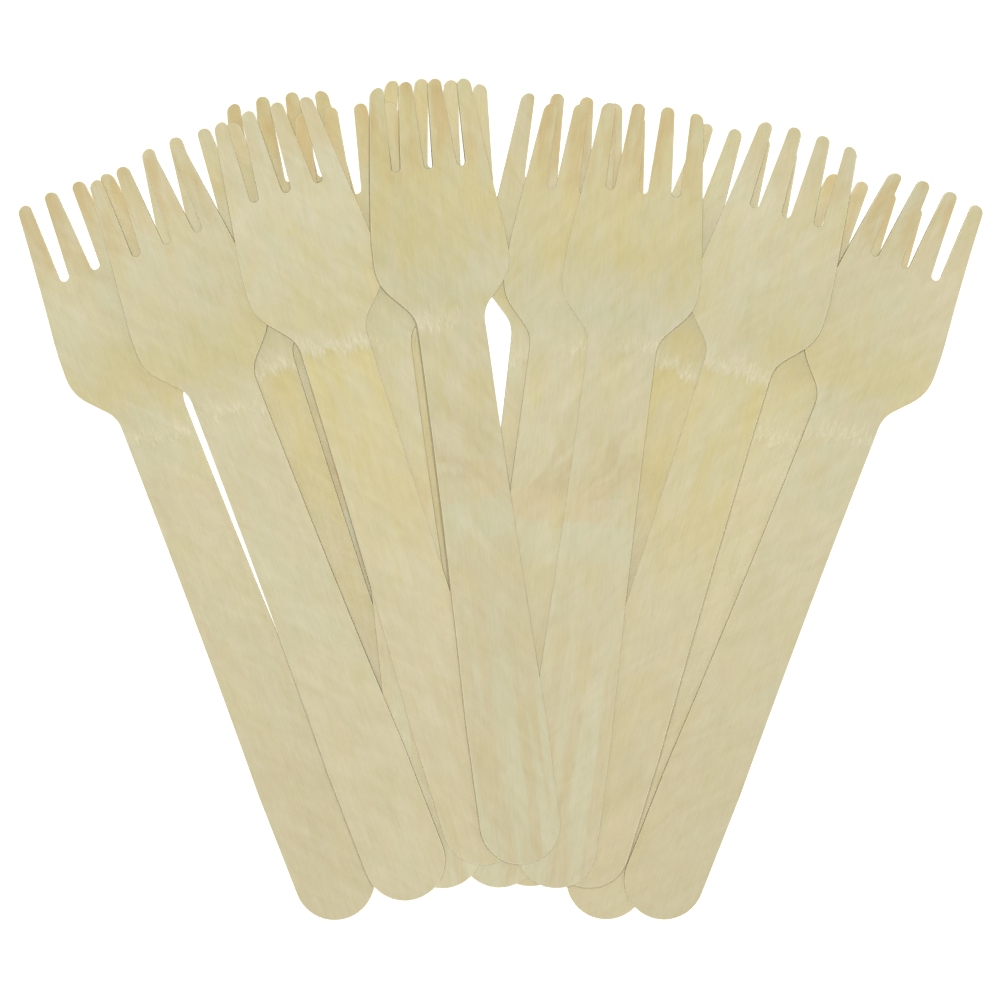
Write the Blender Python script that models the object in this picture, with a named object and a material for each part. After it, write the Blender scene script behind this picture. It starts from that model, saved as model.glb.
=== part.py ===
# A fanned pack of disposable birch forks, lying in a loose pile on a flat surface.
# Every fork is one piece of veneer, cut flat and pressed to shape. Metres, +Z up.

import math

import bmesh
import bpy
import numpy as np
from mathutils import Matrix, Vector
from mathutils.bvhtree import BVHTree

# Veneer blank
FORK_LENGTH = 0.160
VENEER = 0.0015  # thickness

# Handle, measured from its round end
HANDLE_WIDTH = 0.0164
GRIP_LENGTH = 0.030  # the sides are parallel up to here
NECK_WIDTH = 0.0139
NECK_FROM_END = 0.1123
NECK_RADIUS = 0.0061

# Head
SHOULDER_ANGLE = math.radians(42.5)  # slope of the shoulder against the fork's axis
HEAD_WIDTH = 0.0279
SHOULDER_RADIUS = 0.0091
CHEEK_FROM_END = 0.1280  # the head tapers from here to the tips
CHEEK_RADIUS = 0.0627

# Tines
TINES = 4
TIP_SPAN = 0.0206  # across the tips of the outer tines
TINE_TIP_WIDTH = 0.0026
TINE_TIP_RADIUS = 0.0013
OUTER_TIP_RADIUS = 0.0022  # the outer corner of an outer tine is rounder
OUTER_TINE_SETBACK = 0.0006
SLOT_ROOT_FROM_END = 0.1422
SLOT_ROOT_WIDTH = 0.0019
SLOT_ROOT_PITCH = 0.0068

# Pressed shape of the head
PRESS_FROM_END = 0.1030  # the flat handle ends here
BOWL_FROM_END = 0.1330  # lowest point of the pressed bowl
BOWL_DEPTH = 0.0024
TIP_RISE = 0.0040  # the tips end this much above the bowl
HEAD_CAMBER = 0.0008  # the cheeks stand this much above the middle

# Facets
ARC_STEP = math.radians(18)
TAPER_STEPS = 3  # straight stretches along the handle's curved taper
PRESS_ROWS = 11

# Pile
CLEARANCE = 0.0003  # between touching forks
SAMPLE = 0.0005  # grid on which a fork feels what lies under it

# A hand of three forks: (x and y of the handle's end centre, lean to the left in degrees)
HAND = (
    (-0.0337, -0.0774, 21.35),
    (-0.0184, -0.0702, 17.2),
    (-0.0116, -0.0702, 7.5),
)
SPARE_FORKS = (
    (-0.0228, -0.0672, 8.6),
    (-0.0181, -0.0658, -1.9),
    (-0.0019, -0.0682, -6.3),
)
# Each hand that is laid down: (side, shift in x, shift in y), side 1 leans left, -1 right
HANDS = (
    (-1, -0.0119, 0.0),
    (1, 0.0, 0.0),
    (-1, 0.0, 0.0),
    (1, 0.0149, 0.0049),
)

# Birch tones, from pale to honey
BIRCH_TONES = (
    (0.640, 0.570, 0.370),
    (0.620, 0.540, 0.330),
    (0.655, 0.590, 0.400),
)
BIRCH_ROUGHNESS = 0.62


def clear_scene():
    for old in list(bpy.data.objects):
        bpy.data.objects.remove(old, do_unlink=True)


def handle_side():
    """Corners of the right side from the handle's end to the cheek, as (x, y, radius)."""
    grip = HANDLE_WIDTH / 2
    neck = NECK_WIDTH / 2
    cheek = HEAD_WIDTH / 2
    corners = [(grip, 0.0, grip), (grip, GRIP_LENGTH, 0.0)]
    for step in range(1, TAPER_STEPS):
        part = step / TAPER_STEPS
        half = neck + (grip - neck) * (1 - part) ** 2
        corners.append((half, GRIP_LENGTH + part * (NECK_FROM_END - GRIP_LENGTH), 0.0))
    shoulder = NECK_FROM_END + (cheek - neck) / math.tan(SHOULDER_ANGLE)
    corners.append((neck, NECK_FROM_END, NECK_RADIUS))
    corners.append((cheek, shoulder, SHOULDER_RADIUS))
    corners.append((cheek, CHEEK_FROM_END, CHEEK_RADIUS))
    return corners


def tine_corners():
    """Corners of the tines and slots from the right cheek to the middle of the head."""
    pitch = (TIP_SPAN - TINE_TIP_WIDTH) / (TINES - 1)
    half_tine = TINE_TIP_WIDTH / 2
    half_root = SLOT_ROOT_WIDTH / 2
    corners = []
    for tine in range((TINES + 1) // 2):
        place = TIP_SPAN / 2 - half_tine - tine * pitch
        outer = tine == 0
        tip = FORK_LENGTH - (OUTER_TINE_SETBACK if outer else 0.0)
        corners.append((place + half_tine, tip, OUTER_TIP_RADIUS if outer else TINE_TIP_RADIUS))
        if place > half_tine:
            corners.append((place - half_tine, tip, TINE_TIP_RADIUS))
        slot = (TINES / 2 - 1 - tine) * SLOT_ROOT_PITCH
        if slot >= 0:
            corners.append((slot + half_root, SLOT_ROOT_FROM_END, half_root))
        if slot > 0:
            corners.append((slot - half_root, SLOT_ROOT_FROM_END, half_root))
    return corners


def corner_reaches(corners):
    """How far the arc of each corner reaches along its edges. Arcs that meet share their edge."""
    places = [Vector(corner[:2]) for corner in corners]
    count = len(corners)
    wanted = []
    for index, (_, _, radius) in enumerate(corners):
        back = places[index - 1] - places[index]
        ahead = places[(index + 1) % count] - places[index]
        wanted.append(radius / math.tan(back.angle(ahead) / 2))
    reaches = []
    for index, reach in enumerate(wanted):
        for other in (index - 1, (index + 1) % count):
            edge = (places[other] - places[index]).length
            if wanted[index] + wanted[other] > edge:
                reach = min(reach, edge * wanted[index] / (wanted[index] + wanted[other]))
        reaches.append(reach)
    return reaches


def round_corner(before, corner, after, reach):
    """Points of the arc that rounds one corner of an outline."""
    if reach == 0.0:
        return [corner]
    back = (before - corner).normalized()
    ahead = (after - corner).normalized()
    half = back.angle(ahead) / 2
    centre = corner + (back + ahead).normalized() * reach / math.cos(half)
    arm = corner + back * reach - centre
    turn = math.pi - 2 * half
    if back.cross(ahead) > 0:
        turn = -turn
    steps = max(2, math.ceil(abs(turn) / ARC_STEP))
    return [centre + Matrix.Rotation(turn * step / steps, 2) @ arm for step in range(steps + 1)]


def fork_outline():
    """Closed outline of the fork, counter-clockwise, its axis along +Y."""
    right = handle_side() + tine_corners()
    left = [(-x, y, radius) for x, y, radius in reversed(right)]
    corners = right + left
    points = []
    for index, reach in enumerate(corner_reaches(corners)):
        before = Vector(corners[index - 1][:2])
        after = Vector(corners[(index + 1) % len(corners)][:2])
        points.extend(round_corner(before, Vector(corners[index][:2]), after, reach))
    return [point for index, point in enumerate(points) if (point - points[index - 1]).length > 1e-6]


def slice_mesh(mesh, place, normal, start):
    """Cut new edges into the part of the mesh that lies beyond start along its length."""
    faces = [face for face in mesh.faces if face.calc_center_bounds().y > start]
    edges = {edge for face in faces for edge in face.edges}
    verts = {vert for face in faces for vert in face.verts}
    bmesh.ops.bisect_plane(
        mesh, geom=list(verts) + list(edges) + faces, dist=1e-6, plane_co=place, plane_no=normal
    )


def press_height(x, y):
    """How far the press moves the veneer up or down at a place on the blank."""
    if y <= PRESS_FROM_END:
        return 0.0
    dip = min((y - PRESS_FROM_END) / (BOWL_FROM_END - PRESS_FROM_END), 1.0)
    sink = (1 - math.cos(math.pi * dip)) / 2
    rise = max((y - BOWL_FROM_END) / (FORK_LENGTH - BOWL_FROM_END), 0.0) ** 2
    camber = HEAD_CAMBER * sink * (x / (HEAD_WIDTH / 2)) ** 2
    return camber - BOWL_DEPTH * sink + TIP_RISE * rise


def fork_mesh():
    """The fork as one closed solid: cut as a flat blank, then pressed."""
    mesh = bmesh.new()
    blank = mesh.faces.new([mesh.verts.new((point.x, point.y, 0.0)) for point in fork_outline()])
    raised = bmesh.ops.extrude_face_region(mesh, geom=[blank])["geom"]
    top = [item for item in raised if isinstance(item, bmesh.types.BMVert)]
    bmesh.ops.translate(mesh, verts=top, vec=(0.0, 0.0, VENEER))
    for row in range(PRESS_ROWS):
        place = PRESS_FROM_END + (FORK_LENGTH - PRESS_FROM_END) * row / PRESS_ROWS
        slice_mesh(mesh, (0.0, place, 0.0), (0.0, 1.0, 0.0), 0.0)
    for lane in (-SLOT_ROOT_PITCH, 0.0, SLOT_ROOT_PITCH):
        slice_mesh(mesh, (lane, 0.0, 0.0), (1.0, 0.0, 0.0), PRESS_FROM_END)
    for vert in mesh.verts:
        vert.co.z += press_height(vert.co.x, vert.co.y)
    bmesh.ops.triangulate(mesh, faces=mesh.faces[:])
    bmesh.ops.recalc_face_normals(mesh, faces=mesh.faces[:])
    data = bpy.data.meshes.new("fork")
    mesh.to_mesh(data)
    mesh.free()
    return data


def fork_places():
    """Plan places of the forks, bottom to top, as (x, y, lean)."""
    places = list(SPARE_FORKS)
    for side, shift_x, shift_y in HANDS:
        for x, y, lean in HAND:
            places.append((side * x + shift_x, y + shift_y, side * lean))
    return places


def solid_tree(data, placings):
    """A search tree over the mesh at each of its placings."""
    verts = []
    faces = []
    for placing in placings:
        start = len(verts)
        verts.extend(placing @ vert.co for vert in data.vertices)
        faces.extend([start + index for index in face.vertices] for face in data.polygons)
    return BVHTree.FromPolygons(verts, faces)


def heights_over(plan, tree, level, direction):
    """Height of the first surface met from a level over each place of the plan, or nan."""
    found = np.full(plan.shape[:2], np.nan)
    for index in np.ndindex(found.shape):
        x, y = plan[index]
        hit = tree.ray_cast(Vector((x, y, level)), Vector((0.0, 0.0, direction)))[0]
        if hit:
            found[index] = hit.z
    return found


def spread_highest(heights):
    """Each place takes the highest value of the places around it, so sides keep clear too."""
    padded = np.pad(heights, 1, mode="edge")
    rows, columns = heights.shape
    shifted = [padded[i:i + rows, j:j + columns] for i in range(3) for j in range(3)]
    return np.maximum.reduce(shifted)


def plane_over(points, centre, supports):
    """The lowest plane over the middle that clears the supports, as level and two slopes."""
    rows = np.column_stack((np.ones(len(supports)), points[supports, :2] - centre))
    tops = points[supports, 2]
    best = None
    for left_out in range(len(supports)):
        keep = [index for index in range(len(supports)) if index != left_out]
        if abs(np.linalg.det(rows[keep])) < 1e-12:
            continue
        plane = np.linalg.solve(rows[keep], tops[keep])
        if np.all(rows @ plane > tops - 1e-8) and (best is None or plane[0] < best[0][0]):
            best = (plane, [supports[index] for index in keep])
    return best


def resting_plane(points, centre):
    """Plane of rest on the points (x, y, height): three of them carry it, none is above it."""
    offset = points[:, :2] - centre
    supports = [int(np.argmin(offset[:, 1])), int(np.argmin(offset[:, 0])), int(np.argmax(offset[:, 0]))]
    supports.append(int(np.argmax(offset[:, 1])))
    for _ in range(60):
        found = plane_over(points, centre, supports)
        if found is None:
            break
        plane, supports = found
        over = points[:, 2] - plane[0] - offset @ plane[1:]
        worst = int(np.argmax(over))
        if over[worst] < 1e-7:
            break
        supports = supports + [worst]
    return plane


def settle(data, placing, middle, pile):
    """Tilt and lower a fork until it lies on the pile or the floor at three places."""
    across = np.arange(-HEAD_WIDTH / 2, HEAD_WIDTH / 2 + SAMPLE, SAMPLE)
    along = np.arange(0.0, FORK_LENGTH + SAMPLE, SAMPLE)
    u, v = np.meshgrid(across, along)
    for _ in range(2):
        axes = np.array(placing)
        plan = np.stack([axes[k, 0] * u + axes[k, 1] * v + axes[k, 3] for k in (0, 1)], axis=-1)
        under = heights_over(plan, solid_tree(data, [placing]), -1.0, 1.0)
        below = np.zeros(under.shape)
        if pile:
            top = heights_over(plan, solid_tree(data, pile), 1.0, -1.0)
            below = spread_highest(np.where(np.isnan(top), 0.0, top + CLEARANCE))
        inside = ~np.isnan(under)
        points = np.column_stack((plan[inside], (below - under)[inside]))
        centre = placing @ middle
        level, slope_x, slope_y = resting_plane(points, np.array(centre.xy))
        lean = Vector((0.0, 0.0, 1.0)).rotation_difference(Vector((-slope_x, -slope_y, 1.0)))
        pivot = Matrix.Translation(centre)
        turned = pivot @ lean.to_matrix().to_4x4() @ pivot.inverted() @ placing
        placing = Matrix.Translation((0.0, 0.0, level)) @ turned
    return placing


def pile_up(data):
    """Placings of the forks, each one settled on those before it."""
    middle = sum((vert.co for vert in data.vertices), Vector()) / len(data.vertices)
    middle.x = 0.0
    pile = []
    for x, y, lean in fork_places():
        placing = Matrix.Translation((x, y, 0.0)) @ Matrix.Rotation(math.radians(lean), 4, "Z")
        placing = placing @ Matrix.Translation((0.0, -HANDLE_WIDTH / 2, 0.0))
        pile.append(settle(data, placing, middle, pile))
    return pile


def birch(number):
    tone = BIRCH_TONES[number % len(BIRCH_TONES)]
    material = bpy.data.materials.new(f"birch_{number:02d}")
    material.use_nodes = True
    shader = material.node_tree.nodes["Principled BSDF"]
    shader.inputs["Base Color"].default_value = (*tone, 1.0)
    shader.inputs["Roughness"].default_value = BIRCH_ROUGHNESS
    shader.inputs["Metallic"].default_value = 0.0
    return material


def main():
    clear_scene()
    data = fork_mesh()
    pile = pile_up(data)
    corners = np.array([placing @ vert.co for placing in pile for vert in data.vertices])
    low = corners.min(axis=0)
    high = corners.max(axis=0)
    to_origin = Matrix.Translation((-(low[0] + high[0]) / 2, -(low[1] + high[1]) / 2, -low[2]))
    for number, placing in enumerate(pile, start=1):
        fork = bpy.data.objects.new(f"fork_{number:02d}", data.copy())
        fork.data.materials.append(birch(number))
        fork.matrix_world = to_origin @ placing
        bpy.context.scene.collection.objects.link(fork)


main()
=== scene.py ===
import math

import bpy
import numpy as np
from mathutils import Matrix, Vector


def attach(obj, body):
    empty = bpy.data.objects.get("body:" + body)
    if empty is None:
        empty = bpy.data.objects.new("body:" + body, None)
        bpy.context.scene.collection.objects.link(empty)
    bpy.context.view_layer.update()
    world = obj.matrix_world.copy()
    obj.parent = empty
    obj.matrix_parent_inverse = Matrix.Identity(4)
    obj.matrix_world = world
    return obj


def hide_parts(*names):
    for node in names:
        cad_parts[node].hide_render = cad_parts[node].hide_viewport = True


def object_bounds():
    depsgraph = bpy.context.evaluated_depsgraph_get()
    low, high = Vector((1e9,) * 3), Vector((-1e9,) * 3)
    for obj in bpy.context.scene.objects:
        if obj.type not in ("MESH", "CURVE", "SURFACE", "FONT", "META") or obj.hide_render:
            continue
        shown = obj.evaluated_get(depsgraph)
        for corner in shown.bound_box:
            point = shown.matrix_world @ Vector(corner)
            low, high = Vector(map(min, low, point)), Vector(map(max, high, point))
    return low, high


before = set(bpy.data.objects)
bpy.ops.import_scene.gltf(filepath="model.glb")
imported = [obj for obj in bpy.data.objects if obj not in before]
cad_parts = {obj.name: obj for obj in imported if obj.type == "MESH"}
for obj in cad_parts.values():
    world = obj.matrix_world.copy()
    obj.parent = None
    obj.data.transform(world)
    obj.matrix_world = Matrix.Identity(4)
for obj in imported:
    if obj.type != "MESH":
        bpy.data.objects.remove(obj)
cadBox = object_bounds()
print("frame loaded:", len(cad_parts), "forks")

mm = 0.001
tiny = 0.01 * mm  # closer than this, two heights or points count as one


def deselectAll():
    if bpy.context.object and bpy.context.object.mode != "OBJECT":
        bpy.ops.object.mode_set(mode="OBJECT")
    bpy.ops.object.select_all(action="DESELECT")


def applyModifiers(piece):
    deselectAll()
    piece.select_set(True)
    bpy.context.view_layer.objects.active = piece
    for modifier in list(piece.modifiers):
        bpy.ops.object.modifier_apply(modifier=modifier.name)


# one fork, in its own axes: +Y from the handle's end to the tips, z 0 under the flat handle
fork = {
    "length": 160.0 * mm,
    "veneer": 1.5 * mm,
    "handleWidth": 16.4 * mm,
    "gripLength": 30.0 * mm,
    "neckWidth": 13.9 * mm,
    "neckFromEnd": 112.3 * mm,
    "neckRadius": 6.1 * mm,
    "shoulderAngle": math.radians(42.5),
    "headWidth": 27.9 * mm,
    "shoulderRadius": 9.1 * mm,
    "cheekFromEnd": 128.0 * mm,
    "cheekRadius": 62.7 * mm,
    "tines": 4,
    "tipSpan": 20.6 * mm,
    "tineWidth": 2.6 * mm,
    "tipRadius": 1.3 * mm,
    "outerTipRadius": 2.2 * mm,
    "outerSetback": 0.6 * mm,
    "slotRoot": 142.2 * mm,
    "slotWidth": 1.9 * mm,
    "slotPitch": 6.8 * mm,
    "pressFromEnd": 103.0 * mm,
    "bowlFromEnd": 133.0 * mm,
    "bowlDepth": 2.34 * mm,
    "tipRise": 3.94 * mm,
    "camber": 0.8 * mm,
    "edgeRound": 0.1 * mm,  # the die leaves the edges slightly broken
    "edgeSegments": 3,
    "edgeAngle": math.radians(60),
    "smoothAngle": math.radians(40),
    "arcStep": math.radians(8),
    "taperSteps": 16,
    "handleRowStart": 12 * mm,
    "handleRowStep": 13 * mm,
    "rowStep": 1.1 * mm,  # rows of faces across the pressed head
    "columnStep": 2.4 * mm,
}


def outlineCorners(f):
    # x, y and radius of every corner of the right half, from the handle's end to the middle slot
    grip, neck, cheek = f["handleWidth"] / 2, f["neckWidth"] / 2, f["headWidth"] / 2
    corners = [(grip, 0.0, grip), (grip, f["gripLength"], 0.0)]
    for step in range(1, f["taperSteps"]):
        part = step / f["taperSteps"]
        along = f["gripLength"] + part * (f["neckFromEnd"] - f["gripLength"])
        corners.append((neck + (grip - neck) * (1 - part) ** 2, along, 0.0))
    shoulder = f["neckFromEnd"] + (cheek - neck) / math.tan(f["shoulderAngle"])
    corners.append((neck, f["neckFromEnd"], f["neckRadius"]))
    corners.append((cheek, shoulder, f["shoulderRadius"]))
    corners.append((cheek, f["cheekFromEnd"], f["cheekRadius"]))
    tinePitch = (f["tipSpan"] - f["tineWidth"]) / (f["tines"] - 1)
    halfTine, halfSlot = f["tineWidth"] / 2, f["slotWidth"] / 2
    outerTip = f["length"] - f["outerSetback"]
    outer = f["tipSpan"] / 2 - halfTine
    corners.append((outer + halfTine, outerTip, f["outerTipRadius"]))
    corners.append((outer - halfTine, outerTip, f["tipRadius"]))
    corners.append((f["slotPitch"] + halfSlot, f["slotRoot"], halfSlot))
    corners.append((f["slotPitch"] - halfSlot, f["slotRoot"], halfSlot))
    inner = outer - tinePitch
    corners.append((inner + halfTine, f["length"], f["tipRadius"]))
    corners.append((inner - halfTine, f["length"], f["tipRadius"]))
    corners.append((halfSlot, f["slotRoot"], halfSlot))
    return corners


def forkOutline(f):
    # the closed outline with its corners rounded, where arcs that meet share their edge
    right = outlineCorners(f)
    corners = right + [(-x, y, radius) for x, y, radius in reversed(right)]
    places = [Vector(corner[:2]) for corner in corners]
    count = len(corners)
    edges = [(places[i - 1] - places[i], places[(i + 1) % count] - places[i]) for i in range(count)]
    wanted = [corner[2] / math.tan(back.angle(ahead) / 2) for corner, (back, ahead) in zip(corners, edges)]
    points = []
    for i, (back, ahead) in enumerate(edges):
        reach = wanted[i]
        for other, edge in ((i - 1, back), ((i + 1) % count, ahead)):
            if wanted[i] + wanted[other] > edge.length:
                reach = min(reach, edge.length * wanted[i] / (wanted[i] + wanted[other]))
        if reach == 0.0:
            points.append(places[i])
            continue
        half = back.angle(ahead) / 2
        centre = places[i] + (back.normalized() + ahead.normalized()).normalized() * reach / math.cos(half)
        arm = places[i] + back.normalized() * reach - centre
        turn = (math.pi - 2 * half) * (-1 if back.cross(ahead) > 0 else 1)
        steps = max(2, math.ceil(abs(turn) / f["arcStep"]))
        points += [centre + Matrix.Rotation(turn * step / steps, 2) @ arm for step in range(steps + 1)]
    return [point for i, point in enumerate(points) if (point - points[i - 1]).length > tiny]


def pressHeight(f, x, y):
    if y <= f["pressFromEnd"]:
        return 0.0
    dip = min((y - f["pressFromEnd"]) / (f["bowlFromEnd"] - f["pressFromEnd"]), 1.0)
    sink = (1 - math.cos(math.pi * dip)) / 2
    side = (x / (f["headWidth"] / 2)) ** 2
    rise = max((y - f["bowlFromEnd"]) / (f["length"] - f["bowlFromEnd"]), 0.0) ** 2
    return f["camber"] * sink * side - f["bowlDepth"] * sink + f["tipRise"] * rise


def cutRows(f):
    # the blank is cut into faces that can follow the press: planes as a point and a normal
    rows = list(np.arange(f["handleRowStart"], f["pressFromEnd"], f["handleRowStep"]))
    rows += list(np.arange(f["pressFromEnd"], f["length"] - mm, f["rowStep"]))
    planes = [((0, y, 0), (0, 1, 0)) for y in rows]
    sides = np.arange(f["columnStep"] / 2, f["headWidth"] / 2, f["columnStep"])
    planes += [((side * x, 0, 0), (1, 0, 0)) for x in sides for side in (-1, 1)]
    for place, normal in planes:
        bpy.ops.mesh.select_all(action="SELECT")
        bpy.ops.mesh.bisect(plane_co=place, plane_no=normal)


def stampBlank(f):
    # a flat blank of veneer: the outline as one face, given its thickness and slightly broken edges
    outline = forkOutline(f)
    deselectAll()
    bpy.ops.mesh.primitive_circle_add(vertices=len(outline), radius=f["headWidth"], fill_type="NGON")
    blank = bpy.context.object
    for vertex, point in zip(blank.data.vertices, outline):
        vertex.co = (point.x, point.y, 0.0)
    bpy.ops.object.mode_set(mode="EDIT")
    bpy.ops.mesh.select_all(action="SELECT")
    bpy.ops.mesh.extrude_region_move(TRANSFORM_OT_translate={"value": (0.0, 0.0, f["veneer"])})
    bpy.ops.mesh.select_all(action="SELECT")
    bpy.ops.mesh.normals_make_consistent(inside=False)
    bpy.ops.object.mode_set(mode="OBJECT")
    edge = blank.modifiers.new("brokenEdge", "BEVEL")
    edge.width = f["edgeRound"]
    edge.segments = f["edgeSegments"]
    edge.limit_method = "ANGLE"
    edge.angle_limit = f["edgeAngle"]
    edge.use_clamp_overlap = False
    applyModifiers(blank)
    return blank


def pressFork(f):
    blank = stampBlank(f)
    deselectAll()
    blank.select_set(True)
    bpy.context.view_layer.objects.active = blank
    bpy.ops.object.mode_set(mode="EDIT")
    cutRows(f)
    bpy.ops.object.mode_set(mode="OBJECT")
    blank.data.attributes.new("forkSpace", "FLOAT_VECTOR", "POINT")
    blank.data.attributes.new("cutEdge", "FLOAT", "POINT")
    own = blank.data.attributes["forkSpace"]
    cut = blank.data.attributes["cutEdge"]
    for vertex in blank.data.vertices:
        inside = tiny < vertex.co.z < f["veneer"] - tiny
        own.data[vertex.index].vector = vertex.co
        cut.data[vertex.index].value = 1.0 if inside else 0.0
        vertex.co.z += pressHeight(f, vertex.co.x, vertex.co.y)
    bpy.ops.object.shade_smooth_by_angle(angle=f["smoothAngle"])
    weighted = blank.modifiers.new("evenShading", "WEIGHTED_NORMAL")
    weighted.keep_sharp = True
    applyModifiers(blank)
    return blank


def forkAxes(node, f):
    # where a packed fork lies: its flat handle gives z, its length y, its lowest point along y the end
    weld = 0.002 * mm
    flatWithin = math.radians(0.03)
    steepest = 0.7  # least height of the normal of a face that looks up
    corners = {}
    for vertex in node.data.vertices:
        corners[tuple(round(c / weld) for c in vertex.co)] = vertex.co.copy()
    points = np.array([tuple(co) for co in corners.values()])
    upper = [face for face in node.data.polygons if face.normal.z > steepest]
    largest = max(upper, key=lambda face: face.area)
    flat = [face for face in upper if face.normal.angle(largest.normal) < flatWithin]
    up = sum((face.normal * face.area for face in flat), Vector()).normalized()
    top = sum((face.center.dot(up) * face.area for face in flat)) / sum(face.area for face in flat)
    middle = points.mean(axis=0)
    spread = points - middle
    spread -= np.outer(spread @ np.array(up), np.array(up))
    long = np.linalg.svd(spread, full_matrices=False)[2][0]
    along = spread @ long
    if along.max() + along.min() > 0:  # the crowded head lies nearer to the mean than the handle's end
        long = -long
    y = Vector(long).normalized()
    x = y.cross(up).normalized()
    ys = points @ np.array(y)
    xs = points @ np.array(x)
    origin = x * float(xs.min() + xs.max()) / 2 + y * float(ys.min()) + up * (top - f["veneer"])
    axes = Matrix((x, y, up)).transposed().to_4x4()
    axes.translation = origin
    return axes


# shared shader groups
def newGroup(name, inputs, outputs):
    group = bpy.data.node_groups.new(name, "ShaderNodeTree")
    for label, kind, value in inputs:
        socket = group.interface.new_socket(label, in_out="INPUT", socket_type=kind)
        if value is not None:
            socket.default_value = value
    for label, kind in outputs:
        group.interface.new_socket(label, in_out="OUTPUT", socket_type=kind)
    start = group.nodes.new("NodeGroupInput")
    end = group.nodes.new("NodeGroupOutput")
    return group, start, end


def addNoise(tree, vector, scale, detail=3.0, roughness=0.55, distortion=0.0):
    # noise stretched to a size in millimetres along each of the fork's axes
    mapping = tree.nodes.new("ShaderNodeMapping")
    mapping.inputs["Scale"].default_value = [1 / (size * mm) for size in scale]
    tree.links.new(vector, mapping.inputs["Vector"])
    noise = tree.nodes.new("ShaderNodeTexNoise")
    noise.inputs["Scale"].default_value = 1.0
    noise.inputs["Detail"].default_value = detail
    noise.inputs["Roughness"].default_value = roughness
    noise.inputs["Distortion"].default_value = distortion
    tree.links.new(mapping.outputs["Vector"], noise.inputs["Vector"])
    return noise.outputs["Fac"]


def addMath(tree, operation, first, second=None, third=None):
    node = tree.nodes.new("ShaderNodeMath")
    node.operation = operation
    for index, value in enumerate((first, second, third)):
        if value is None:
            continue
        if isinstance(value, (int, float)):
            node.inputs[index].default_value = value
        else:
            tree.links.new(value, node.inputs[index])
    return node.outputs[0]


def addStretch(tree, value, low, high, toLow=0.0, toHigh=1.0):
    node = tree.nodes.new("ShaderNodeMapRange")
    node.interpolation_type = "SMOOTHSTEP"
    for name, number in (("From Min", low), ("From Max", high), ("To Min", toLow), ("To Max", toHigh)):
        node.inputs[name].default_value = number
    tree.links.new(value, node.inputs["Value"])
    return node.outputs["Result"]


def addTint(tree, factor, under, over, blend="MIX"):
    node = tree.nodes.new("ShaderNodeMix")
    node.data_type = "RGBA"
    node.blend_type = blend
    sockets = [socket for socket in node.inputs if socket.enabled]
    for socket, value in zip(sockets, (factor, under, over)):
        if isinstance(value, bpy.types.NodeSocket):
            tree.links.new(value, socket)
        elif isinstance(value, (int, float)):
            socket.default_value = value
        else:
            socket.default_value = (*value, 1.0)
    return next(socket for socket in node.outputs if socket.enabled)


seedShift = (0.037, 0.091, 0.053)


def seededVector(tree, start):
    # every fork reads another part of the same wood
    shift = tree.nodes.new("ShaderNodeVectorMath")
    shift.operation = "MULTIPLY_ADD"
    tree.links.new(start.outputs["Seed"], shift.inputs[0])
    shift.inputs[1].default_value = seedShift
    tree.links.new(start.outputs["Vector"], shift.inputs[2])
    return shift.outputs["Vector"]


def band(tree, value, low, rise, fall, high):
    start = addStretch(tree, value, low, rise)
    end = addStretch(tree, value, fall, high, 1.0, 0.0)
    return addMath(tree, "MULTIPLY", start, end)


def addTurn(tree, vector, angle):
    turn = tree.nodes.new("ShaderNodeVectorRotate")
    turn.rotation_type = "Z_AXIS"
    tree.links.new(angle, turn.inputs["Angle"])
    tree.links.new(vector, turn.inputs["Vector"])
    return turn.outputs["Vector"]


figureAngle = math.radians(-38.0)
pinkAngle = math.radians(-32.0)
grainWeights = {"fibre": 0.18, "streak": 0.12, "mottle": 0.12, "figure": 0.16}
poreDepth = 0.05  # how much a pore darkens the wood
grainWarmth = 1.9  # the dark grain is yellower, so blue swings this much more than red and green


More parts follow.
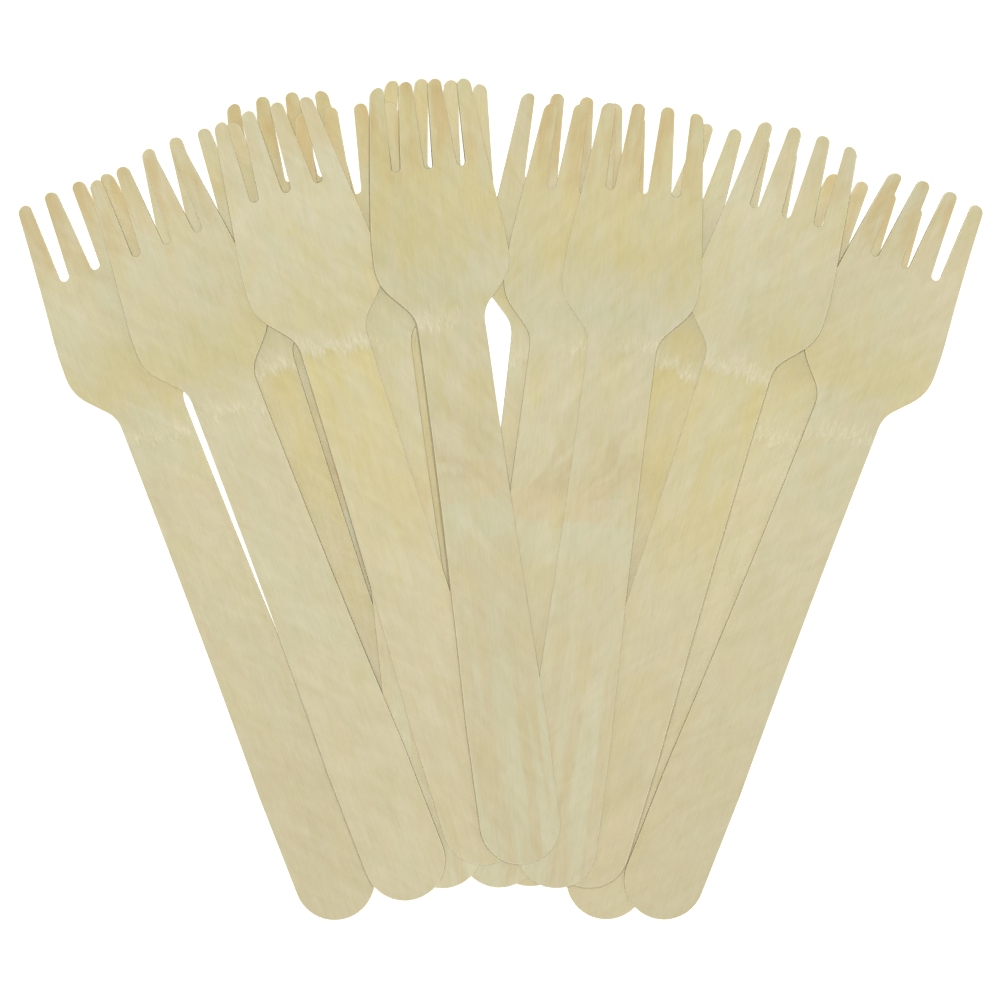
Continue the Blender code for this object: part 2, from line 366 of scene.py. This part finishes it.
def makeFibreGroup():
    # Grain is near white and multiplies the colour, the other outputs run from 0 to 1
    group, start, end = newGroup(
        "birchFibre",
        [("Vector", "NodeSocketVector", None), ("Seed", "NodeSocketFloat", 0.0),
         ("Side", "NodeSocketFloat", 1.0)],
        [("Grain", "NodeSocketColor"), ("Streak", "NodeSocketFloat"), ("Cloud", "NodeSocketFloat"),
         ("Green", "NodeSocketFloat"), ("Pink", "NodeSocketFloat"), ("Height", "NodeSocketFloat")],
    )
    vector = seededVector(group, start)
    fibre = addNoise(group, vector, (0.38, 4.2, 0.38), 3.0, 0.65, 0.2)
    streak = addNoise(group, vector, (1.1, 17.0, 1.1), 3.0, 0.6, 0.5)
    mottle = addNoise(group, vector, (2.4, 5.5, 2.4), 3.0, 0.55, 0.6)
    # the diagonal marks mirror with the side of the fan
    figureTurn = addMath(group, "MULTIPLY", start.outputs["Side"], figureAngle)
    figure = addNoise(group, addTurn(group, vector, figureTurn), (2.4, 11.0, 2.4), 2.0, 0.5, 0.8)
    cloud = addNoise(group, vector, (6.5, 12.0, 6.5), 2.0, 0.5, 0.3)
    green = addNoise(group, vector, (9.0, 21.0, 9.0), 2.0, 0.5, 0.6)
    pinkTurn = addMath(group, "MULTIPLY", start.outputs["Side"], pinkAngle)
    pink = addNoise(group, addTurn(group, vector, pinkTurn), (5.0, 13.0, 5.0), 2.0, 0.5, 0.9)
    pores = addNoise(group, vector, (0.2, 2.2, 0.2), 2.0, 0.5)
    grain = 1.0 - sum(grainWeights.values()) / 2
    for noise, weight in zip((fibre, streak, mottle, figure), grainWeights.values()):
        grain = addMath(group, "MULTIPLY_ADD", noise, weight, grain)
    grain = addMath(group, "MULTIPLY_ADD", addStretch(group, pores, 0.64, 0.76), -poreDepth, grain)
    warm = group.nodes.new("ShaderNodeCombineColor")
    group.links.new(grain, warm.inputs["Red"])
    group.links.new(grain, warm.inputs["Green"])
    blue = addMath(group, "MULTIPLY_ADD", grain, grainWarmth, 1.0 - grainWarmth)
    group.links.new(blue, warm.inputs["Blue"])
    links = (
        ("Grain", warm.outputs["Color"]),
        ("Streak", addStretch(group, streak, 0.36, 0.66)),
        ("Cloud", addStretch(group, cloud, 0.36, 0.66)),
        ("Green", addStretch(group, green, 0.40, 0.66)),
        ("Pink", addStretch(group, pink, 0.44, 0.66)),
        ("Height", addMath(group, "MULTIPLY_ADD", fibre, 0.7, addMath(group, "MULTIPLY", streak, 0.5))),
    )
    for label, socket in links:
        group.links.new(socket, end.inputs[label])
    return group


knotPlace = {  # across counts towards the middle of the fan
    "across": 1.6 * mm,
    "along": 78.0 * mm,
    "halfWidth": 4.3 * mm,
    "halfLength": 3.6 * mm,
    "raysAcross": 6.0 * mm,
    "raysAlong": 77.0 * mm,
    "radian": 10.0 * mm,  # how far apart two rays count that differ by one radian
}


def addLength(tree, first, second):
    squares = addMath(tree, "MULTIPLY_ADD", second, second, addMath(tree, "MULTIPLY", first, first))
    return addMath(tree, "SQRT", squares)


def addKnot(tree, k, inward, along, ragged, wander):
    # a small knot on the handle with a stronger rim
    across = addMath(tree, "DIVIDE", addMath(tree, "SUBTRACT", inward, k["across"]), k["halfWidth"])
    ahead = addMath(tree, "DIVIDE", addMath(tree, "SUBTRACT", along, k["along"]), k["halfLength"])
    ring = addMath(tree, "MULTIPLY_ADD", ragged, 0.9, addLength(tree, across, ahead))
    ring = addMath(tree, "MULTIPLY_ADD", wander, 1.1, ring)
    rim = band(tree, ring, 0.45, 0.8, 0.9, 1.15)
    return addMath(tree, "MULTIPLY_ADD", rim, 0.4, addStretch(tree, ring, 0.65, 1.15, 0.6, 0.0))


def addRays(tree, k, seed, inward, along, wander):
    # the fibres that fan out from beside the knot towards the head
    outward = addMath(tree, "SUBTRACT", k["raysAcross"], inward)
    ahead = addMath(tree, "SUBTRACT", along, k["raysAlong"])
    angle = addMath(tree, "MULTIPLY_ADD", wander, 0.3, addMath(tree, "ARCTAN2", ahead, outward))
    reach = addLength(tree, outward, ahead)
    fan = tree.nodes.new("ShaderNodeCombineXYZ")
    tree.links.new(addMath(tree, "MULTIPLY", angle, k["radian"]), fan.inputs["X"])
    tree.links.new(reach, fan.inputs["Y"])
    tree.links.new(seed, fan.inputs["Z"])
    noise = addNoise(tree, fan.outputs["Vector"], (2.3, 16.0, 1000.0), 2.0, 0.5, 0.25)
    strokes = addStretch(tree, noise, 0.40, 0.60)
    turned = band(tree, angle, 0.0, 0.5, 1.0, 1.6)
    near = band(tree, reach, 1 * mm, 6 * mm, 12 * mm, 30 * mm)
    return addMath(tree, "MULTIPLY", strokes, addMath(tree, "MULTIPLY", turned, near))


pressZones = {  # where each zone starts and is full, and where it thins out and ends, in millimetres
    "frizz": (-1.6, -0.7, 0.6, 3.2),  # counted from the ragged band
    "below": (-62.0, -12.0, -1.6, -0.6),
    "underKnot": (65.0, 67.5, 73.4, 74.4),  # counted from the handle's end
    "end": (0.0, 125.0),
    "nearEnd": (20.0, 72.0),
    "shoulder": (-3.0, 5.0, 6.0, 19.0),  # counted from the neck
    "head": (1.0, 19.0),
    "tines": (26.0, 40.0),
    "lean": (-2.0, 4.0),  # counted across the fork
}


def zone(name, start=0.0):
    return [start + edge * mm for edge in pressZones[name]]


def makePressGroup(f):
    # marks of the press along the fork: frizzed fibres in a ragged band, and zones that it coloured
    group, start, end = newGroup(
        "pressMarks",
        [("Vector", "NodeSocketVector", None), ("Seed", "NodeSocketFloat", 0.0),
         ("Band", "NodeSocketFloat", 0.11), ("Slant", "NodeSocketFloat", 0.0),
         ("Side", "NodeSocketFloat", 1.0), ("Lean", "NodeSocketFloat", 0.0)],
        [("Frizz", "NodeSocketFloat"), ("Below", "NodeSocketFloat"), ("Shoulder", "NodeSocketFloat"),
         ("Head", "NodeSocketFloat"), ("Tines", "NodeSocketFloat"), ("End", "NodeSocketFloat"),
         ("EndBands", "NodeSocketFloat"), ("Knot", "NodeSocketFloat"), ("Rays", "NodeSocketFloat"),
         ("UnderKnot", "NodeSocketFloat")],
    )
    vector = seededVector(group, start)
    split = group.nodes.new("ShaderNodeSeparateXYZ")
    group.links.new(start.outputs["Vector"], split.inputs[0])
    along = split.outputs["Y"]
    slanted = addMath(group, "MULTIPLY", split.outputs["X"], start.outputs["Slant"])
    fromBand = addMath(group, "SUBTRACT", addMath(group, "SUBTRACT", along, slanted), start.outputs["Band"])
    ragged = addMath(group, "SUBTRACT", addNoise(group, vector, (0.75, 7.0, 0.75), 3.0, 0.65), 0.5)
    wander = addMath(group, "SUBTRACT", addNoise(group, vector, (5.0, 8.0, 5.0), 2.0), 0.5)
    threads = addStretch(group, addNoise(group, vector, (0.45, 1.5, 0.45), 3.0, 0.65, 0.8), 0.38, 0.62)
    patch = addStretch(group, addNoise(group, vector, (4.0, 16.0, 4.0), 2.0), 0.36, 0.64)
    # torn follows the ragged band's edge, soft the blurred edges of the coloured zones
    torn = addMath(group, "MULTIPLY_ADD", ragged, 9.0 * mm, fromBand)
    torn = addMath(group, "MULTIPLY_ADD", wander, 4.0 * mm, torn)
    soft = addMath(group, "MULTIPLY_ADD", ragged, 14.0 * mm, along)
    soft = addMath(group, "MULTIPLY_ADD", wander, 16.0 * mm, soft)
    frizz = band(group, torn, *zone("frizz"))
    below = band(group, torn, *zone("below"))
    # Side is 1 where the fork's right edge points into the fan and -1 where its left edge does
    inward = addMath(group, "MULTIPLY", split.outputs["X"], start.outputs["Side"])
    leaning = addStretch(group, inward, *zone("lean"))
    leaning = addMath(group, "MULTIPLY", leaning, start.outputs["Lean"])
    frizz = addMath(group, "MULTIPLY", frizz, addMath(group, "SUBTRACT", 1.0, leaning))
    underKnot = addMath(group, "MULTIPLY_ADD", ragged, 1.5 * mm, along)
    underKnot = band(group, underKnot, *zone("underKnot"))
    neck = f["neckFromEnd"]
    mostly = addMath(group, "MULTIPLY_ADD", patch, 0.6, 0.4)
    head = addStretch(group, soft, *zone("head", neck))
    tines = addStretch(group, soft, *zone("tines", neck))
    nearEnd = addStretch(group, soft, *zone("nearEnd"), 1.0, 0.0)
    bands = addStretch(group, addNoise(group, vector, (3.4, 60.0, 3.4), 2.0, 0.5, 0.3), 0.42, 0.58)
    seed = start.outputs["Seed"]
    links = (
        ("Frizz", addMath(group, "MULTIPLY", frizz, addMath(group, "MULTIPLY_ADD", threads, 0.7, 0.3))),
        ("Below", addMath(group, "MULTIPLY", below, mostly)),
        ("Shoulder", band(group, soft, *zone("shoulder", neck))),
        ("Head", addMath(group, "MULTIPLY", head, mostly)),
        ("Tines", addMath(group, "MULTIPLY", tines, patch)),
        ("End", addStretch(group, soft, *zone("end"), 1.0, 0.0)),
        ("EndBands", addMath(group, "MULTIPLY", nearEnd, bands)),
        ("Knot", addKnot(group, knotPlace, inward, along, ragged, wander)),
        ("Rays", addRays(group, knotPlace, seed, inward, along, wander)),
        ("UnderKnot", addMath(group, "MULTIPLY", underKnot, addMath(group, "MULTIPLY_ADD", patch, 0.5, 0.5))),
    )
    for label, socket in links:
        group.links.new(socket, end.inputs[label])
    return group


screenGamma = 2.2
birch = {  # screen colours of the wood, 0 to 255
    "olive": (212, 199, 144),
    "beige": (212, 203, 165),
    "green": (208, 204, 167),
    "pink": (212, 198, 161),
    "ochre": (212, 198, 138),
    "cream": (226, 217, 180),
    "tan": (208, 185, 131),
    "pale": (209, 207, 173),
    "dusk": (202, 188, 147),
    "knot": (211, 193, 148),
    "rays": (201, 185, 140),
    # cut walls: partly the paler colour of freshly cut birch, partly painted light that lifts the walls the
    # lamp above leaves in shade
    "cutEdge": (246, 237, 198),
    "cutEdgePaleAndLitShare": 0.95,
    "roughness": 0.58,
    "roughSwing": 0.10,
    "frizzRough": 0.15,
    "frizzRelief": 1.6,
    "specular": 0.35,
    "grainStrength": 0.55,
    "grainDepth": 0.06 * mm,
    "light": 1.24,  # how much the studio light lifts a colour that faces it
}

# the three forks of a hand differ in how the press marked them: where the ragged band lies,
# how much it leans to one side and how much each zone is coloured
handLooks = {
    "outer": {
        "band": 105.6 * mm, "lean": 0.0, "frizz": 0.9, "below": 0.05, "shoulder": 0.55, "head": 0.12,
        "tines": 0.75, "end": 0.5, "bands": 0.0, "knot": 0.0, "green": 0.75, "pink": 0.45, "olive": 0.35,
    },
    "middle": {
        "band": 109.3 * mm, "lean": 0.0, "frizz": 1.0, "below": 0.95, "shoulder": 0.25, "head": -0.3,
        "tines": 0.4, "end": 0.8, "bands": 0.1, "knot": 0.0, "green": 0.5, "pink": 0.4, "olive": 0.9,
    },
    "inner": {
        "band": 110.8 * mm, "lean": 0.75, "frizz": 1.0, "below": 0.0, "shoulder": -0.35, "head": 0.8,
        "tines": 0.9, "end": 0.75, "bands": 0.55, "knot": 0.7, "green": 0.5, "pink": 0.35, "olive": 0.8,
    },
}

# each fork: side of the fan, place in the hand, seed, tone against the others, slant of the ragged band
forkLooks = {
    "fork_01": {"side": 1, "hand": "inner", "seed": 0.31, "tone": 0.95, "slant": 0.1},
    "fork_02": {"side": 1, "hand": "middle", "seed": 1.17, "tone": 1.02, "slant": 0.0},
    "fork_03": {"side": 1, "hand": "outer", "seed": 2.43, "tone": 1.00, "slant": -0.1},
    "fork_04": {"side": -1, "hand": "outer", "seed": 3.21, "tone": 1.00, "slant": 0.2},
    "fork_05": {"side": -1, "hand": "middle", "seed": 4.05, "tone": 0.99, "slant": -0.1},
    "fork_06": {"side": -1, "hand": "inner", "seed": 5.38, "tone": 0.99, "slant": 0.1},
    "fork_07": {"side": 1, "hand": "outer", "seed": 6.12, "tone": 0.99, "slant": -0.2},
    "fork_08": {"side": 1, "hand": "middle", "seed": 7.49, "tone": 1.00, "slant": -0.05},
    "fork_09": {"side": 1, "hand": "inner", "seed": 8.26, "tone": 1.00, "slant": -0.1},
    "fork_10": {"side": -1, "hand": "outer", "seed": 9.07, "tone": 1.00, "slant": 0.2},
    "fork_11": {"side": -1, "hand": "middle", "seed": 10.33, "tone": 1.00, "slant": 0.0},
    "fork_12": {"side": -1, "hand": "inner", "seed": 11.71, "tone": 0.97, "slant": 0.1},
    "fork_13": {"side": 1, "hand": "outer", "seed": 12.58, "tone": 1.00, "slant": -0.2},
    "fork_14": {"side": 1, "hand": "middle", "seed": 13.64, "tone": 1.01, "slant": -0.12},
    "fork_15": {"side": 1, "hand": "inner", "seed": 14.92, "tone": 0.99, "slant": -0.1},
}


def birchMaterial(name, look, fibreGroup, pressGroup):
    material = bpy.data.materials.new(name)
    material.use_nodes = True
    tree = material.node_tree
    shader = tree.nodes["Principled BSDF"]
    space = tree.nodes.new("ShaderNodeAttribute")
    space.attribute_name = "forkSpace"
    cut = tree.nodes.new("ShaderNodeAttribute")
    cut.attribute_name = "cutEdge"
    fibre = tree.nodes.new("ShaderNodeGroup")
    fibre.node_tree = fibreGroup
    press = tree.nodes.new("ShaderNodeGroup")
    press.node_tree = pressGroup
    hand = handLooks[look["hand"]]
    for node in (fibre, press):
        node.inputs["Seed"].default_value = look["seed"]
        node.inputs["Side"].default_value = look["side"]
        tree.links.new(space.outputs["Vector"], node.inputs["Vector"])
    press.inputs["Band"].default_value = hand["band"]
    press.inputs["Slant"].default_value = look["slant"]
    press.inputs["Lean"].default_value = hand["lean"]

    def toned(key):
        level = look["tone"] / birch["light"]
        return tuple((channel / 255) ** screenGamma * level for channel in birch[key])

    def tinted(under, mask, amount, warm):
        # a positive amount tints the zone, a negative one pales it
        share = addMath(tree, "MULTIPLY", mask, abs(amount))
        return addTint(tree, share, under, toned(warm if amount > 0 else "pale"))

    colour = tinted(toned("beige"), fibre.outputs["Cloud"], hand["olive"], "olive")
    colour = tinted(colour, fibre.outputs["Green"], hand["green"], "green")
    colour = tinted(colour, fibre.outputs["Pink"], hand["pink"], "pink")
    colour = tinted(colour, press.outputs["Head"], hand["head"], "ochre")
    colour = tinted(colour, press.outputs["Shoulder"], hand["shoulder"], "ochre")
    colour = tinted(colour, press.outputs["Below"], hand["below"], "ochre")
    colour = tinted(colour, press.outputs["End"], hand["end"], "dusk")
    colour = tinted(colour, press.outputs["EndBands"], hand["bands"], "pale")
    colour = tinted(colour, press.outputs["Tines"], hand["tines"], "tan")
    colour = tinted(colour, press.outputs["UnderKnot"], hand["knot"], "green")
    colour = tinted(colour, press.outputs["Rays"], hand["knot"], "rays")
    colour = tinted(colour, press.outputs["Knot"], hand["knot"], "knot")
    colour = tinted(colour, press.outputs["Frizz"], hand["frizz"], "cream")
    # the cut walls get a colour well above the face's: paler cut birch, and painted light standing in for the
    # light the walls miss
    colour = tinted(colour, cut.outputs["Fac"], birch["cutEdgePaleAndLitShare"], "cutEdge")
    colour = addTint(tree, 1.0, colour, fibre.outputs["Grain"], "MULTIPLY")
    tree.links.new(colour, shader.inputs["Base Color"])
    smoothest = birch["roughness"] - birch["roughSwing"] / 2
    rough = addMath(tree, "MULTIPLY_ADD", fibre.outputs["Streak"], birch["roughSwing"], smoothest)
    rough = addMath(tree, "MULTIPLY_ADD", press.outputs["Frizz"], birch["frizzRough"], rough)
    tree.links.new(rough, shader.inputs["Roughness"])
    height = fibre.outputs["Height"]
    relief = addMath(tree, "MULTIPLY_ADD", press.outputs["Frizz"], birch["frizzRelief"], height)
    bump = tree.nodes.new("ShaderNodeBump")
    bump.inputs["Strength"].default_value = birch["grainStrength"]
    bump.inputs["Distance"].default_value = birch["grainDepth"]
    tree.links.new(relief, bump.inputs["Height"])
    tree.links.new(bump.outputs["Normal"], shader.inputs["Normal"])
    shader.inputs["Specular IOR Level"].default_value = birch["specular"]
    return material


def layForks():
    # the pressed fork is copied onto every packed fork
    pattern = pressFork(fork)
    fibreGroup = makeFibreGroup()
    pressGroup = makePressGroup(fork)
    for name, look in forkLooks.items():
        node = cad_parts[name]
        piece = bpy.data.objects.new(f"birch_{name}", pattern.data.copy())
        bpy.context.scene.collection.objects.link(piece)
        piece.data.transform(forkAxes(node, fork))
        piece.data.update()
        piece.data.materials.clear()
        piece.data.materials.append(birchMaterial(f"birch_{name}", look, fibreGroup, pressGroup))
        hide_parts(name)
        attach(piece, "root")
    bpy.data.objects.remove(pattern)


layForks()
print("forks laid:", len(forkLooks))


studio = {
    "pixel": 0.2033 * mm,  # real size of one pixel of a picture 1000 wide
    "pictureWidth": 1000,
    "aimHeight": 8.0 * mm,
    "lens": 180.0,
    "sensor": 36.0,
    "floorSize": 6.0,
    "floorDrop": 0.05 * mm,
    "floorColour": (0.70, 0.70, 0.70),
    "floorRoughness": 0.9,
    "floorGlow": 0.62,  # the table is lit from below too, so the gaps between the forks stay white
    "panelSize": 0.08,
    "panelHeight": 1.04,  # just above the camera, so that the gaps under the edges are lit too
    "panelPower": 9.65,
    "worldStrength": 0.27,
}


def makeFloor():
    deselectAll()
    bpy.ops.mesh.primitive_plane_add(size=studio["floorSize"], location=(0, 0, -studio["floorDrop"]))
    floor = bpy.context.object
    floor.name = "studioFloor"
    paint = bpy.data.materials.new("paleFloor")
    paint.use_nodes = True
    shader = paint.node_tree.nodes["Principled BSDF"]
    shader.inputs["Base Color"].default_value = (*studio["floorColour"], 1.0)
    shader.inputs["Roughness"].default_value = studio["floorRoughness"]
    shader.inputs["Specular IOR Level"].default_value = 0.0
    shader.inputs["Emission Color"].default_value = (1.0, 1.0, 1.0, 1.0)
    shader.inputs["Emission Strength"].default_value = studio["floorGlow"]
    floor.data.materials.append(paint)


def makeLight():
    world = bpy.data.worlds.new("studioAir")
    world.use_nodes = True
    world.node_tree.nodes["Background"].inputs["Color"].default_value = (1.0, 1.0, 1.0, 1.0)
    world.node_tree.nodes["Background"].inputs["Strength"].default_value = studio["worldStrength"]
    bpy.context.scene.world = world
    panel = bpy.data.lights.new("softPanel", "AREA")
    panel.size = studio["panelSize"]
    panel.energy = studio["panelPower"]
    lamp = bpy.data.objects.new("softPanel", panel)
    lamp.location = (0.0, 0.0, studio["panelHeight"])
    bpy.context.scene.collection.objects.link(lamp)


def makeCamera():
    low, high = cadBox
    lens = bpy.data.cameras.new("overhead")
    lens.lens = studio["lens"]
    lens.sensor_width = studio["sensor"]
    distance = studio["pictureWidth"] * studio["pixel"] * studio["lens"] / studio["sensor"]
    camera = bpy.data.objects.new("overhead", lens)
    camera.location = ((low.x + high.x) / 2, (low.y + high.y) / 2, studio["aimHeight"] + distance)
    bpy.context.scene.collection.objects.link(camera)
    bpy.context.scene.camera = camera


makeFloor()
makeLight()
makeCamera()
bpy.context.scene.view_settings.view_transform = "Standard"
bpy.context.scene.view_settings.look = "None"
print("studio ready")
